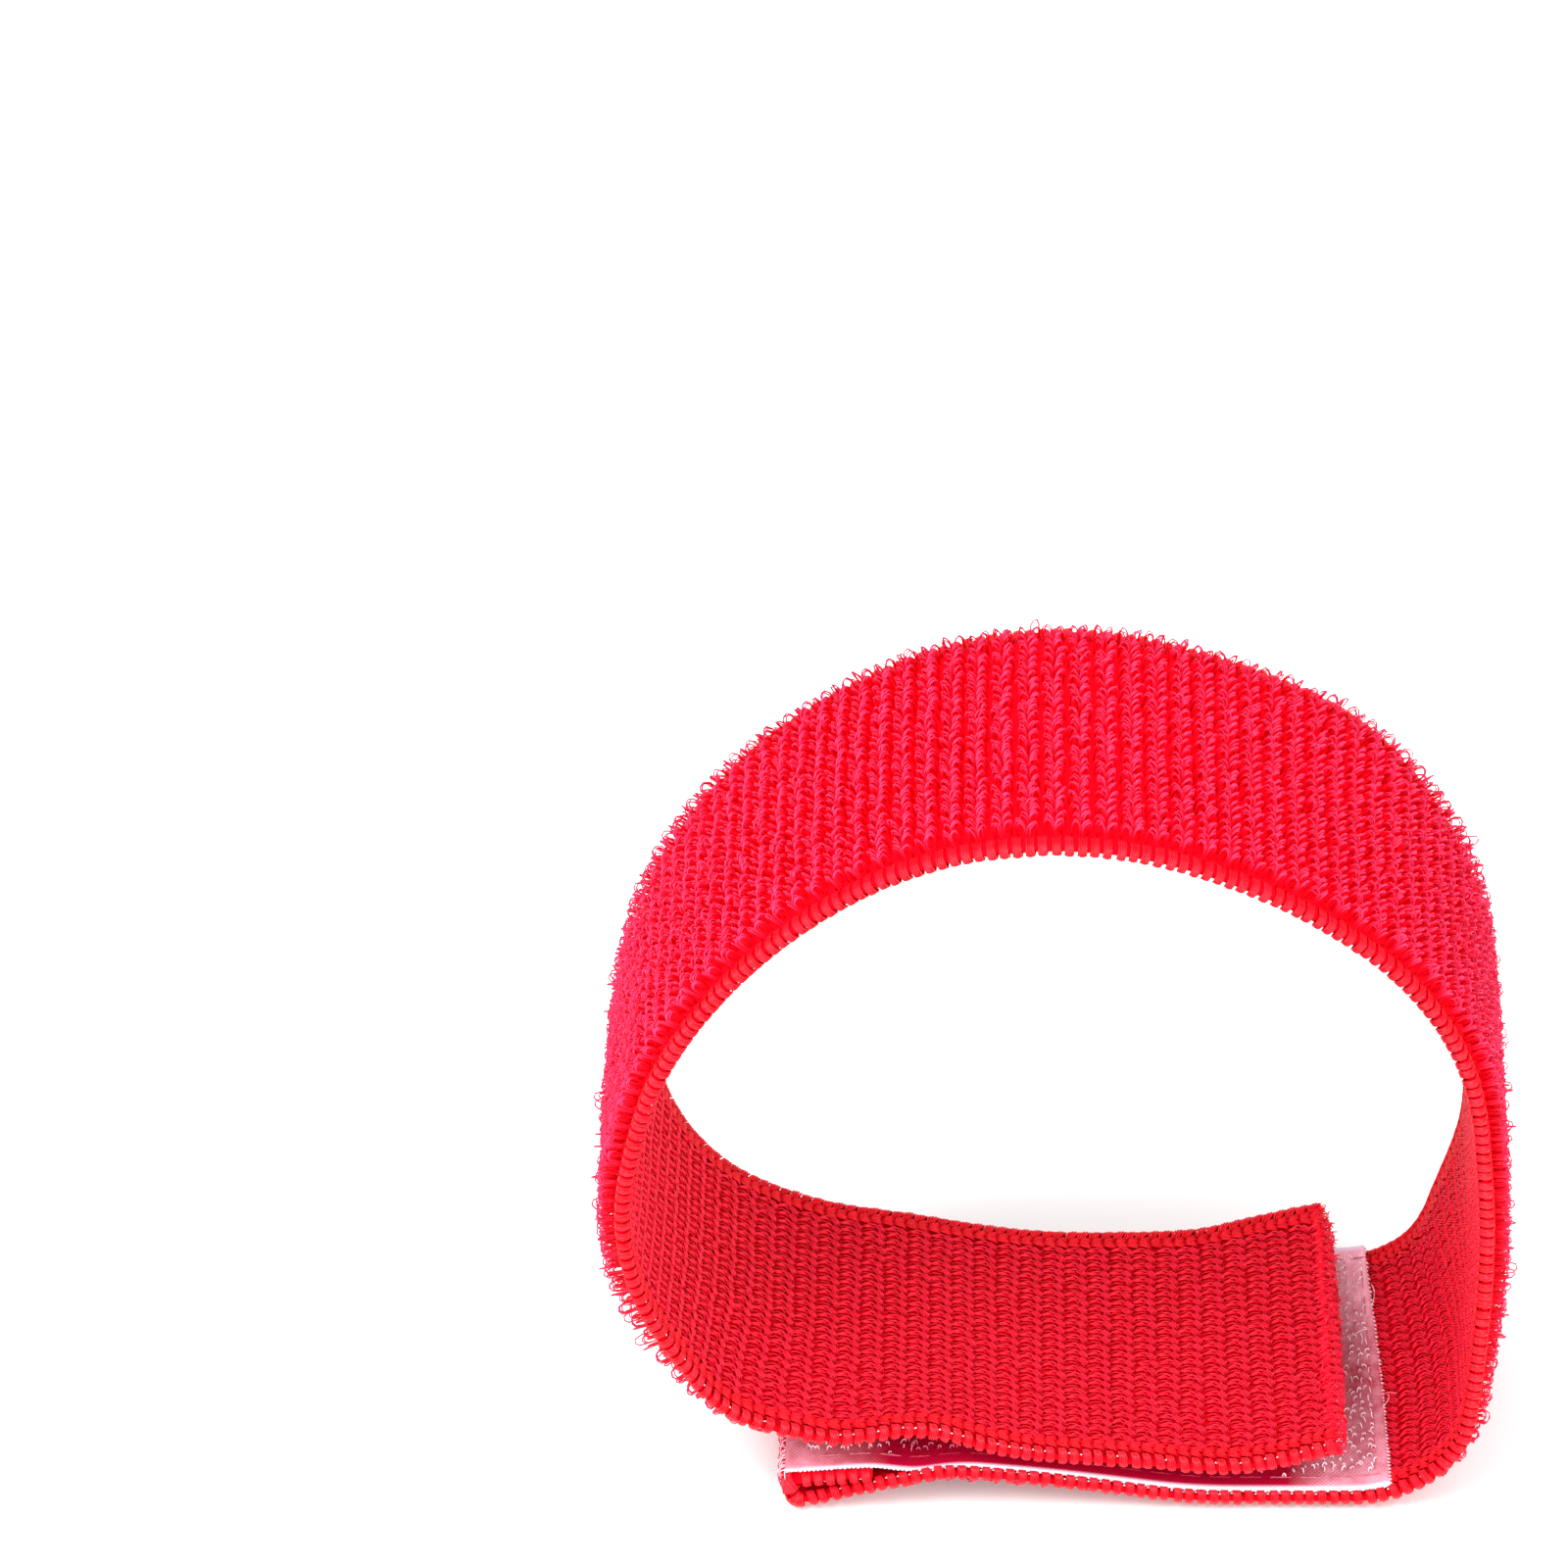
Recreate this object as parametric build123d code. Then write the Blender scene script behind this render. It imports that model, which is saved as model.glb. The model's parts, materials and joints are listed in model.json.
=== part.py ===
"""Elastic hook-and-loop limb strap, closed into a ring that stands on its closure.

A knitted elastic band has loop pile on its outer face. Its outer end is folded into a hem and
carries a hook tape, and its inner end lies on the hooks. X runs along the closure, Y across the
band and Z up. The origin is on the resting plane, under the middle of the ring.

The whole band follows one line, the inner face of the knit, walked from the hem flap round to the
cut end. An offset is measured outwards from that line, so the pile has the largest offsets and the
hook tape, inside the ring, has negative ones.
"""
from build123d import *
from math import cos, pi, radians, sin
import os

# ---- driving dimensions, in millimetres and degrees ----
BAND_WIDTH = 38.0
KNIT_THICKNESS = 1.4
PLY_THICKNESS = 0.45
PILE_HEIGHT = 2.1
TAIL_PILE_HEIGHT = 0.9
TAIL_PILE_START = 0.5
END_PILE_HEIGHT = 1.1
HEM_PILE_HEIGHT = 0.4
SELVEDGE_WIDTH = 1.2
PILE_MARGIN = 2.0
CORE_COUNT = 29
CORE_WIDTH = 0.6
SEGMENT_GAP = 0.3

TAPE_THICKNESS = 0.5
TAPE_WIDTH = 36.0
TAPE_RAMP_FOOT = 13.0
TAPE_END = 67.0
HOOK_HEIGHT = 0.8
HOOK_MARGIN = 1.6
STITCH_LENGTH = 2.6
STITCH_PITCH = 3.4
STITCH_WIDTH = 0.5
STITCH_HEIGHT = 0.25
STITCH_INSET = 0.5

HEM_INNER_RADIUS = 0.85
FLAP_HEADING = 185.0
TAIL_START_HEADING = 17.0
HEM_TURN = 360.0 + TAIL_START_HEADING - FLAP_HEADING

# Each stretch of the line: name, length, turn (anticlockwise is positive).
STRETCHES = [
    ("flap", 8.0, 0.0),
    ("hem_turn", HEM_INNER_RADIUS * radians(HEM_TURN), HEM_TURN),
    ("tail_rise", 14.0, -5.0),
    ("tail_crest", 5.0, -20.0),
    ("tail_fall", 21.0, 0.0),
    ("tail_touch", 8.0, 8.0),
    ("tail_flat", 14.0, 0.0),
    ("right_bend", 18.0, 84.0),
    ("right_side", 41.0, 10.0),
    ("right_shoulder", 32.0, 45.0),
    ("crown_right", 23.0, 22.0),
    ("crown_left", 34.0, 51.0),
    ("left_shoulder", 36.0, 34.0),
    ("left_side", 38.0, 52.0),
    ("left_bend", 26.0, 56.0),
    ("end_dip", 12.0, -7.0),
    ("end_curl", 41.0, 29.0),
]

# Flex lines across the band, as distances along the line past the hem turn.
FLEX_LINES = [69.0, 88.0, 137.0, 180.0, 220.0, 288.0, 313.0]
SEGMENTS = ["tail", "right_bend", "right_side", "crown_right", "crown_left",
            "left_side", "left_bend", "free_end"]
EXTENT_STEP = 0.25


def walk(x, z, heading, length, turn):
    """Return the point and heading at the end of one stretch."""
    if turn == 0:
        return (x + length * cos(radians(heading)), z + length * sin(radians(heading)), heading)
    radius = length / radians(turn)
    after = heading + turn
    x += radius * (sin(radians(after)) - sin(radians(heading)))
    z -= radius * (cos(radians(after)) - cos(radians(heading)))
    return x, z, after


def lay_out(x, z):
    """List every stretch with its start distance, length, turn, start point and heading."""
    rows = []
    heading = FLAP_HEADING
    distance = -(STRETCHES[0][1] + STRETCHES[1][1])
    for name, length, turn in STRETCHES:
        rows.append((name, distance, length, turn, x, z, heading))
        x, z, heading = walk(x, z, heading, length, turn)
        distance += length
    return rows


def line_point(rows, distance, offset=0.0):
    """Return the X and Z of a place on the band: distance along it, offset out from its inner face."""
    row = [r for r in rows if r[1] <= distance + 1e-9][-1]
    part = distance - row[1]
    x, z, heading = walk(row[4], row[5], row[6], part, row[3] * part / row[2])
    return (x + offset * sin(radians(heading)), z - offset * cos(radians(heading)))


def centred_layout():
    """Place the line so that the band stands on Z = 0 with the ring centred on X = 0."""
    rows = lay_out(0.0, 0.0)
    flat = [r for r in rows if r[0] == "tail_flat"][0]
    last = rows[-1][1] + rows[-1][2]
    count = int((last - FLEX_LINES[0]) / EXTENT_STEP)
    outside = [line_point(rows, FLEX_LINES[0] + i * EXTENT_STEP, KNIT_THICKNESS + PILE_HEIGHT)[0]
               for i in range(count)]
    shift_x = -(max(outside) + min(outside)) / 2
    shift_z = KNIT_THICKNESS + TAIL_PILE_HEIGHT - flat[5]
    return lay_out(shift_x, shift_z)


LINE = centred_layout()
CUT_END = LINE[-1][1] + LINE[-1][2]
FLAP_END = LINE[0][1]
HEM_START = LINE[1][1]


def at(distance, offset=0.0):
    """Return a 3-D point of the band's profile, in the Y = 0 plane."""
    x, z = line_point(LINE, distance, offset)
    return (x, 0.0, z)


def profile_edges(start, stop, offset):
    """Return the lines and arcs between two distances, at one offset."""
    edges = []
    for name, first, length, turn, x, z, heading in LINE:
        low = max(start, first)
        high = min(stop, first + length)
        if high - low < 1e-6:
            continue
        ends = at(low, offset), at(high - 1e-9, offset)
        if turn == 0:
            edges.append(Line(*ends))
        else:
            edges.append(ThreePointArc(ends[0], at((low + high) / 2, offset), ends[1]))
    return edges


def closed_face(first_side, second_side):
    """Close two chains of edges, both walked the same way, into one face."""
    caps = [Line(first_side[0] @ 0, second_side[0] @ 0), Line(first_side[-1] @ 1, second_side[-1] @ 1)]
    return make_face(Wire.combine(first_side + second_side + caps, tol=1e-4)[0])


def extrude_across(face, low_y, high_y):
    """Extrude a profile face across the band between two Y values."""
    return extrude(Pos(0, low_y, 0) * face, amount=high_y - low_y, dir=(0, 1, 0))


def band(start, stop, low_offset, high_offset, low_y, high_y):
    """Return one layer of the band as a solid."""
    face = closed_face(profile_edges(start, stop, low_offset), profile_edges(start, stop, high_offset))
    return extrude_across(face, low_y, high_y)


def write(name, solids):
    """Write one node; its solids stay separate."""
    shape = solids[0] if len(solids) == 1 else Compound(children=solids)
    shape.label = name
    export_step(shape, f"parts/{name}.step")


# ---- the layers of one segment ----
HALF = BAND_WIDTH / 2
KNIT_HALF = HALF - SELVEDGE_WIDTH
CORE_LOW = PLY_THICKNESS
CORE_HIGH = KNIT_THICKNESS - PLY_THICKNESS


def knit_back(start, stop):
    """The ribbed ply on the inside of the ring."""
    return [band(start, stop, 0, CORE_LOW, -KNIT_HALF, KNIT_HALF)]


def knit_face(start, stop):
    """The ply that the pile grows from."""
    return [band(start, stop, CORE_HIGH, KNIT_THICKNESS, -KNIT_HALF, KNIT_HALF)]


def elastic_cores(start, stop):
    """The stretch threads between the two plies, one in each row of the knit."""
    pitch = 2 * KNIT_HALF / CORE_COUNT
    rows = [-KNIT_HALF + pitch * (i + 0.5) for i in range(CORE_COUNT)]
    return [band(start, stop, CORE_LOW, CORE_HIGH, y - CORE_WIDTH / 2, y + CORE_WIDTH / 2) for y in rows]


def selvedges(start, stop):
    """The two beaded edges, which close the plies along both sides."""
    return [band(start, stop, 0, KNIT_THICKNESS, low, low + SELVEDGE_WIDTH) for low in (-HALF, KNIT_HALF)]


def loop_pile(start, stop, height):
    """The brushed loops, as one layer that stops short of both edges."""
    reach = HALF - PILE_MARGIN
    return [band(start, stop, KNIT_THICKNESS, KNIT_THICKNESS + height, -reach, reach)]


def pile_height(segment):
    """Return how high the pile stands: it is pressed down where it is lain on or caught by hooks."""
    return {"tail": TAIL_PILE_HEIGHT, "free_end": END_PILE_HEIGHT}.get(segment, PILE_HEIGHT)


def segment_range(index):
    """Return where a segment starts and stops, with half a gap left at each flex line."""
    start = FLEX_LINES[index - 1] + SEGMENT_GAP / 2 if index > 0 else 0.0
    stop = FLEX_LINES[index] - SEGMENT_GAP / 2 if index < len(FLEX_LINES) else CUT_END
    return start, stop


def write_segments():
    """Write the layers of every segment of the band."""
    for index, segment in enumerate(SEGMENTS):
        start, stop = segment_range(index)
        write(f"{segment}_knit_back", knit_back(start, stop))
        write(f"{segment}_knit_face", knit_face(start, stop))
        write(f"{segment}_elastic_cores", elastic_cores(start, stop))
        write(f"{segment}_selvedges", selvedges(start, stop))
        pile_start = TAIL_PILE_START if index == 0 else start
        write(f"{segment}_pile", loop_pile(pile_start, stop, pile_height(segment)))


# ---- the hem, the hook tape and its stitching, all on the tail ----
HEM_TOP = KNIT_THICKNESS + HEM_PILE_HEIGHT
TAPE_HALF = TAPE_WIDTH / 2


def hem_knit():
    """The folded-back end of the band, with its selvedges, as one folded strip."""
    return [band(FLAP_END, 0.0, 0, KNIT_THICKNESS, -HALF, HALF)]


def hem_pile():
    """The flattened loops on the flap, under the hook tape."""
    reach = HALF - PILE_MARGIN
    return [band(FLAP_END, HEM_START, KNIT_THICKNESS, HEM_TOP, -reach, reach)]


def tape_side(height, trim):
    """Return the tape's profile at one height: over the flap, down a ramp and on along the tail."""
    ramp = Polyline(at(HEM_START - trim, HEM_TOP + height), at(FLAP_END, HEM_TOP + height),
                    at(TAPE_RAMP_FOOT, -height))
    return list(ramp.edges()) + profile_edges(TAPE_RAMP_FOOT, TAPE_END - trim, -height)


def tape_layer(low, high, trim, low_y, high_y):
    """Return one layer of the hook tape, trimmed back at both ends."""
    return extrude_across(closed_face(tape_side(low, trim), tape_side(high, trim)), low_y, high_y)


def hook_tape():
    """The woven nylon ground of the hook tape, sewn down all round."""
    return [tape_layer(0, TAPE_THICKNESS, 0, -TAPE_HALF, TAPE_HALF)]


def hook_field():
    """The hooks, as one layer that leaves the woven margins bare."""
    reach = TAPE_HALF - HOOK_MARGIN
    return [tape_layer(TAPE_THICKNESS, TAPE_THICKNESS + HOOK_HEIGHT, HOOK_MARGIN, -reach, reach)]


def tape_stitches():
    """The sewing thread: one row of stitches along each long margin and one across each end."""
    row_y = TAPE_HALF - STITCH_INSET - STITCH_WIDTH
    top = -(TAPE_THICKNESS + STITCH_HEIGHT)
    stitches = []
    count = int((TAPE_END - TAPE_RAMP_FOOT - STITCH_INSET) / STITCH_PITCH)
    for i in range(count):
        stop = TAPE_END - STITCH_INSET - STITCH_WIDTH - i * STITCH_PITCH
        for low in (-row_y - STITCH_WIDTH, row_y):
            stitches.append(band(stop - STITCH_LENGTH, stop, -TAPE_THICKNESS, top, low, low + STITCH_WIDTH))
    across = int(2 * row_y / STITCH_PITCH)
    first = -(across * STITCH_PITCH - STITCH_PITCH + STITCH_LENGTH) / 2
    for i in range(across):
        low = first + i * STITCH_PITCH
        stop = TAPE_END - STITCH_INSET
        stitches.append(band(stop - STITCH_WIDTH, stop, -TAPE_THICKNESS, top, low, low + STITCH_LENGTH))
        start = HEM_START - STITCH_INSET - STITCH_WIDTH
        over = HEM_TOP + TAPE_THICKNESS
        stitches.append(band(start, start + STITCH_WIDTH, over, over + STITCH_HEIGHT, low, low + STITCH_LENGTH))
    return stitches


os.makedirs("parts", exist_ok=True)
write_segments()
write("hem_knit", hem_knit())
write("hem_pile", hem_pile())
write("hook_tape", hook_tape())
write("hook_field", hook_field())
write("tape_stitches", tape_stitches())
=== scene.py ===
import json
import math

import bpy
import numpy as np
from mathutils import Matrix, Vector


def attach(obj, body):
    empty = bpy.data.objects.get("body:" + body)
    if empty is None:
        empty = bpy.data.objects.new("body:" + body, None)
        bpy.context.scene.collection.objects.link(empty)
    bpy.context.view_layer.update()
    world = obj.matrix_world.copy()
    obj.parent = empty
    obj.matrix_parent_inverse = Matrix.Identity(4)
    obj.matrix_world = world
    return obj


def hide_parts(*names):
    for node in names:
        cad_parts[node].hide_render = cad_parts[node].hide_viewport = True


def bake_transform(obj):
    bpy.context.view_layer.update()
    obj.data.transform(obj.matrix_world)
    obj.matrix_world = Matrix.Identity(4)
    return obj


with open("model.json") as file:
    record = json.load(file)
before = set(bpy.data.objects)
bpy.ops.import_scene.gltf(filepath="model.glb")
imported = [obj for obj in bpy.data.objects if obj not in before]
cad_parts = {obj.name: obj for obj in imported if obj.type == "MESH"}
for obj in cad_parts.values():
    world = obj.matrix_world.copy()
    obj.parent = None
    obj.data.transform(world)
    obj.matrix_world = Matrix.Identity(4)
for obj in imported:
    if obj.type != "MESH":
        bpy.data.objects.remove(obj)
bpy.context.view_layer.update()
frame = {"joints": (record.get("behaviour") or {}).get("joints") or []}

rng = np.random.default_rng(11)
MM = 0.001

# ---- the band's line: the same stretches as the CAD model, each a name, a length and a turn ----
FLAP_HEADING = 185.0
TAIL_START_HEADING = 17.0
HEM_INNER_RADIUS = 0.85
HEM_TURN = 360.0 + TAIL_START_HEADING - FLAP_HEADING
STRETCHES = [
    ("flap", 8.0, 0.0),
    ("hem_turn", HEM_INNER_RADIUS * math.radians(HEM_TURN), HEM_TURN),
    ("tail_rise", 14.0, -5.0),
    ("tail_crest", 5.0, -20.0),
    ("tail_fall", 21.0, 0.0),
    ("tail_touch", 8.0, 8.0),
    ("tail_flat", 14.0, 0.0),
    ("right_bend", 18.0, 84.0),
    ("right_side", 41.0, 10.0),
    ("right_shoulder", 32.0, 45.0),
    ("crown_right", 23.0, 22.0),
    ("crown_left", 34.0, 51.0),
    ("left_shoulder", 36.0, 34.0),
    ("left_side", 38.0, 52.0),
    ("left_bend", 26.0, 56.0),
    ("end_dip", 12.0, -7.0),
    ("end_curl", 41.0, 29.0),
]
SEGMENTS = ["tail", "right_bend", "right_side", "crown_right", "crown_left",
            "left_side", "left_bend", "free_end"]
FLEX_LINES = [69.0, 88.0, 137.0, 180.0, 220.0, 288.0, 313.0]
BLEND_REACH = [9.2, 9.2, 21.0, 19.5, 19.5, 12.2, 12.2]   # how far each side of its flex line the cloth bends
FIRST_JOINT = "ring_opening"

# ---- sizes of the knit, in millimetres ----
HALF_WIDTH = 19.0
KNIT = 1.4
PILE = 2.1
WALE_PITCH = 1.23
CORES = 29
INNER_WALES = 26
RIB_PITCH = 2.6
BEAD_PITCH = 1.35

# ---- directions on the flat band ----
ALONG = np.array([1.0, 0.0, 0.0])
ACROSS = np.array([0.0, 1.0, 0.0])
OUTWARD = np.array([0.0, 0.0, 1.0])
INWARD = np.array([0.0, 0.0, -1.0])


def stretch_table():
    """Walk the stretches from the flap's end. Return each one's start, as a distance, X, Z and heading, with
    its bend, and the distance at which the last one ends."""
    rows = []
    x, z, heading = 0.0, 0.0, math.radians(FLAP_HEADING)
    distance = -(STRETCHES[0][1] + STRETCHES[1][1])
    for _, length, turn in STRETCHES:
        turn = math.radians(turn)
        rows.append((distance, x, z, heading, turn / length))
        if turn:
            radius = length / turn
            x += radius * (math.sin(heading + turn) - math.sin(heading))
            z -= radius * (math.cos(heading + turn) - math.cos(heading))
        else:
            x += length * math.cos(heading)
            z += length * math.sin(heading)
        heading += turn
        distance += length
    return np.array(rows), distance


LINE, CUT_END = stretch_table()
FLAP_END = LINE[0][0]
HEM_START = LINE[1][0]


def profile(s, offset):
    """Return X and Z, in millimetres, of places on the band before it is moved into the frame."""
    s = np.asarray(s, float)
    row = np.clip(np.searchsorted(LINE[:, 0], s, side="right") - 1, 0, len(LINE) - 1)
    first, x, z, heading, bend = LINE[row].T
    part = s - first
    turned = heading + bend * part
    straight = np.abs(bend) < 1e-9
    safe = np.where(straight, 1.0, bend)
    px = np.where(straight, x + part * np.cos(heading), x + (np.sin(turned) - np.sin(heading)) / safe)
    pz = np.where(straight, z + part * np.sin(heading), z - (np.cos(turned) - np.cos(heading)) / safe)
    return px + offset * np.sin(turned), pz - offset * np.cos(turned)


def find_shift():
    """The CAD model's first flex line lies on the pile's outside, and that fixes the line in the frame."""
    pivot = next(joint for joint in frame["joints"] if joint["name"] == FIRST_JOINT)["pos_m"]
    x, z = profile(FLEX_LINES[0], KNIT + PILE)
    return pivot[0] / MM - float(x), pivot[2] / MM - float(z)


SHIFT_X, SHIFT_Z = find_shift()


def to_frame(x, y, z):
    """Move places from the line's own millimetres to metres in the frame."""
    return np.stack([(x + SHIFT_X) * MM, y * MM, (z + SHIFT_Z) * MM], axis=-1)


# ---- how the soft cloth stands off its line ----
# Each bump is a height, the distance along the band of its middle, and its width, in millimetres.
BUMPS_ALL_ACROSS = [(0.8, 245.0, 26.0), (0.6, 255.0, 8.0), (0.3, 122.0, 9.0)]
BUMPS_AT_FAR_EDGE = [(-1.1, 155.0, 13.0), (0.65, 208.0, 14.0), (0.7, 270.0, 9.0), (-0.9, 348.0, 7.0)]
BUMPS_AT_NEAR_EDGE = [(0.6, 27.0, 14.0), (-0.5, 280.0, 10.0), (-2.3, 296.5, 7.0), (-1.2, 307.0, 5.5),
                      (1.2, 318.0, 6.0), (-1.3, 352.0, 8.0)]
RIPPLE_START = 290.0
RIPPLE_HEIGHT = 0.35
RIPPLE_LENGTH = 7.0      # for each radian of the wave
TAIL_CORNER_RISE = 2.9
CURL_START = 334.0
CURL_TILT = 1.6          # how far the free end's far edge turns up, and its near edge down
CURL_HOLLOW = 0.85       # how far both its edges stand in from its middle
CURL_DROP = 0.5          # and how far its middle sinks


def ramp(value, start, length):
    """Rise smoothly from 0 at start to 1 a length later."""
    t = np.clip((value - start) / length, 0, 1)
    return t * t * (3 - 2 * t)


def bumps(s, table):
    """The sum of the smooth bumps in a table, each a height, a middle and a width."""
    return sum(height * np.exp(-((s - middle) / width) ** 2) for height, middle, width in table)


def lift(s, y):
    """How far the cloth stands in from its line: uneven sides, wavy edges, raised corner and curled end."""
    near = ramp(-y, 2, 16)
    far = ramp(y, 2, 16)
    ripple = RIPPLE_HEIGHT * np.sin((s - RIPPLE_START) / RIPPLE_LENGTH) * ramp(s, RIPPLE_START, 12)
    corner = TAIL_CORNER_RISE * ramp(y, -6, 25) * ramp(s, 38, 22) * (1 - ramp(s, 76, 20))
    part = y / HALF_WIDTH
    curl = CURL_TILT * part + CURL_HOLLOW * part ** 2 - CURL_DROP
    curl *= ramp(s, CURL_START, CUT_END - CURL_START)
    edges = near * bumps(s, BUMPS_AT_NEAR_EDGE) + far * (bumps(s, BUMPS_AT_FAR_EDGE) + ripple)
    return bumps(s, BUMPS_ALL_ACROSS) + edges + corner + curl


def place(points):
    """Bend flat band points (distance, across, offset) round the ring and return metres in the frame."""
    s, y, offset = points[..., 0], points[..., 1], points[..., 2]
    x, z = profile(s, offset - lift(s, y))
    return to_frame(x, y, z)


# ---- mesh making: tubes on the flat band, skinned all at once ----
class Yarns:
    """Collects tubes and slabs, drawn flat, that become one mesh. yarn is what the materials read at each
    point: on a tube the length so far, the share of a turn and the tint, and on a slab the place."""

    def __init__(self):
        self.points = []
        self.yarn = []
        self.polygons = []
        self.count = 0

    def add_grid(self, points, yarn, polygons):
        """Add points with their yarn values, and the polygons that join them."""
        self.points.append(points)
        self.yarn.append(yarn)
        self.polygons += [p + self.count for p in polygons]
        self.count += len(points)

    def add_tubes(self, paths, radius, sides, across, tint=None):
        """Skin N paths of K points with round tubes. radius has K values or is N by K. across points
        sideways from each path and is never along it. tint is 0 to 1 per point, or random per tube."""
        paths = np.asarray(paths, float)
        n, k = paths.shape[:2]
        if n == 0:
            return
        radius = np.broadcast_to(np.asarray(radius, float), (n, k))
        along = np.gradient(paths, axis=1)
        along /= np.linalg.norm(along, axis=2, keepdims=True) + 1e-12
        across = np.broadcast_to(np.asarray(across, float), (n, 3))[:, None, :]
        side = across - (across * along).sum(2, keepdims=True) * along
        side /= np.linalg.norm(side, axis=2, keepdims=True) + 1e-12
        up = np.cross(along, side)
        angle = 2 * np.pi * np.arange(sides) / sides
        ring = np.cos(angle)[:, None] * side[:, :, None, :] + np.sin(angle)[:, None] * up[:, :, None, :]
        points = paths[:, :, None, :] + radius[:, :, None, None] * ring
        steps = np.linalg.norm(np.diff(paths, axis=1, prepend=paths[:, :1]), axis=2)
        if tint is None:
            tint = rng.random(n)[:, None]
        yarn = np.zeros((n, k, sides, 3))
        yarn[..., 0] = np.cumsum(steps, axis=1)[:, :, None]
        yarn[..., 1] = angle / (2 * np.pi)
        yarn[..., 2] = np.broadcast_to(tint, (n, k))[..., None]
        index = np.arange(n * k * sides).reshape(n, k, sides)
        turn = np.roll(index, -1, axis=2)
        quads = np.stack([index[:, :-1], turn[:, :-1], turn[:, 1:], index[:, 1:]], axis=-1).reshape(-1, 4)
        caps = [index[:, 0, ::-1], index[:, -1, :]]
        self.add_grid(points.reshape(-1, 3), yarn.reshape(-1, 3), [quads, *caps])

    def add_slab(self, s_values, y_values, low, high):
        """Add a closed slab between two offsets, over a grid of distances and places across."""
        s_grid, y_grid = np.meshgrid(s_values, y_values, indexing="ij")
        rows, columns = s_grid.shape
        layers = [np.stack([s_grid, y_grid, np.full_like(s_grid, n)], axis=-1) for n in (low, high)]
        points = np.concatenate([layer.reshape(-1, 3) for layer in layers])
        index = np.arange(rows * columns).reshape(rows, columns)
        top = index + rows * columns
        corners = [index[:-1, :-1], index[:-1, 1:], index[1:, 1:], index[1:, :-1]]
        flat = np.stack(corners, axis=-1).reshape(-1, 4)
        walls = []
        for first, second in ((index[0], top[0]), (index[:, -1], top[:, -1]),
                              (index[-1, ::-1], top[-1, ::-1]), (index[::-1, 0], top[::-1, 0])):
            walls.append(np.stack([first[:-1], second[:-1], second[1:], first[1:]], axis=-1))
        yarn = points.copy()
        yarn[:, 2] = np.repeat([0.0, 1.0], rows * columns)
        self.add_grid(points, yarn, [flat, flat[:, ::-1] + rows * columns, np.concatenate(walls)])

    def build(self, name, material, bend):
        """Bend everything into place and make the mesh object."""
        points = bend(np.concatenate(self.points))
        sizes = np.concatenate([np.full(len(p), p.shape[1]) for p in self.polygons])
        corners = np.concatenate([p.reshape(-1) for p in self.polygons])
        mesh = bpy.data.meshes.new(name)
        mesh.vertices.add(len(points))
        mesh.vertices.foreach_set("co", points.astype(np.float32).reshape(-1))
        mesh.loops.add(len(corners))
        mesh.loops.foreach_set("vertex_index", corners.astype(np.int32))
        mesh.polygons.add(len(sizes))
        mesh.polygons.foreach_set("loop_start", (np.cumsum(sizes) - sizes).astype(np.int32))
        mesh.polygons.foreach_set("loop_total", sizes.astype(np.int32))
        mesh.update(calc_edges=True)
        mesh.polygons.foreach_set("use_smooth", np.ones(len(sizes), bool))
        attribute = mesh.attributes.new("yarn", "FLOAT_VECTOR", "POINT")
        attribute.data.foreach_set("vector", np.concatenate(self.yarn).astype(np.float32).reshape(-1))
        mesh.materials.append(material)
        mesh.validate()
        piece = bpy.data.objects.new(name, mesh)
        bpy.context.scene.collection.objects.link(piece)
        return piece


def jitter(shape, size):
    """Seeded noise of a given size, in millimetres."""
    return rng.normal(0.0, size, shape)


def paths_from(points):
    """Stack K places, each a (distance, across, offset) of N values, into N paths."""
    return np.stack([np.stack(np.broadcast_arrays(*p), axis=-1) for p in points], axis=1)


def rows_across(count, pitch):
    """Places across the band of evenly spaced rows, centred on it."""
    return (np.arange(count) - (count - 1) / 2) * pitch


def columns_in(first, last, pitch):
    """The middles of the evenly spaced columns that lie between two distances."""
    return np.arange(math.ceil(first / pitch - 0.5), math.ceil(last / pitch - 0.5)) * pitch + pitch / 2


def cells_in(first, last, pitch, rows):
    """Every cell of a grid whose column lies between two distances: its distance and its place across."""
    s, y = np.meshgrid(columns_in(first, last, pitch), rows, indexing="ij")
    return s.reshape(-1), y.reshape(-1)


# ---- sizes of the hook tape, in millimetres: it runs over the hem, down a ramp and along the tail ----
HEM_TOP = KNIT + 0.4
RAMP_FOOT = 13.0
TAPE_END = 67.0
TAPE_HALF = 18.0
TAPE_BASE = 0.42
TAPE_START = -1.7
WEFT_PITCH = 0.5
WARP_PITCH = 0.56
LINE_STEP = 0.5
SMOOTHING_PASSES = 12
BARE_FROM = TAPE_END - 4.0      # under the tape the inner face isn't drawn


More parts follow.
